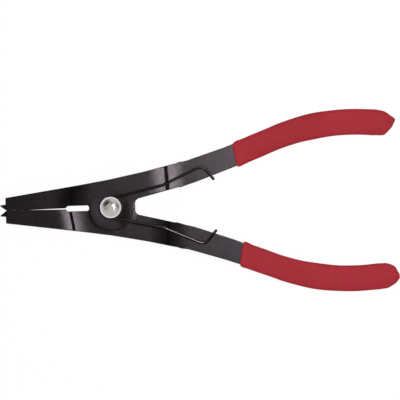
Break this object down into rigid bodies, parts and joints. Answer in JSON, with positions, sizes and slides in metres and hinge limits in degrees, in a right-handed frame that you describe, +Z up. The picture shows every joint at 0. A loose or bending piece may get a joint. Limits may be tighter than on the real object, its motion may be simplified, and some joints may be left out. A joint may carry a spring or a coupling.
{
  "type": "piston ring pliers",
  "caption": "Lever pliers whose jaws spread as the handles are squeezed, with a torsion return spring and dipped grips, for opening piston rings.",
  "frame": {"origin": "on the pivot's axis, at the flat foot of the rivet, which is the lowest point of the tool as it lies flat", "axes": "+X from the pivot to the handles, +Y to the handle of the front lever, +Z up along the pivot to the rivet's domed head"},
  "size_m": [0.2201, 0.1008, 0.0151],
  "materials": {
    "lever_steel": "semi-gloss black oxide and lacquer over stamped steel",
    "grip_vinyl": "matt dip-moulded vinyl with a fine pebbled skin",
    "rivet_nickel": "pale satin nickel plate, slightly worn",
    "zinc_steel": "zinc plated steel",
    "spring_wire": "blackened spring wire with a soft sheen"
  },
  "bodies": {
    "rear_lever": {"rear_lever": "lever_steel", "rear_grip": "grip_vinyl", "pivot_rivet": "rivet_nickel", "tail_washer": "zinc_steel", "spring_bush": "zinc_steel", "return_spring": "spring_wire"},
    "front_lever": {"front_lever": "lever_steel", "front_grip": "grip_vinyl"}
  },
  "joints": [
    {"name": "handle_squeeze", "type": "hinge", "parent": "rear_lever", "child": "front_lever", "pos_m": [0, 0, 0], "axis": [0, 0, -1], "range_deg": [0, 22], "stiffness_Nm_per_rad": 0.8, "springref_deg": -28.65, "deforming": ["return_spring"]}
  ]
}
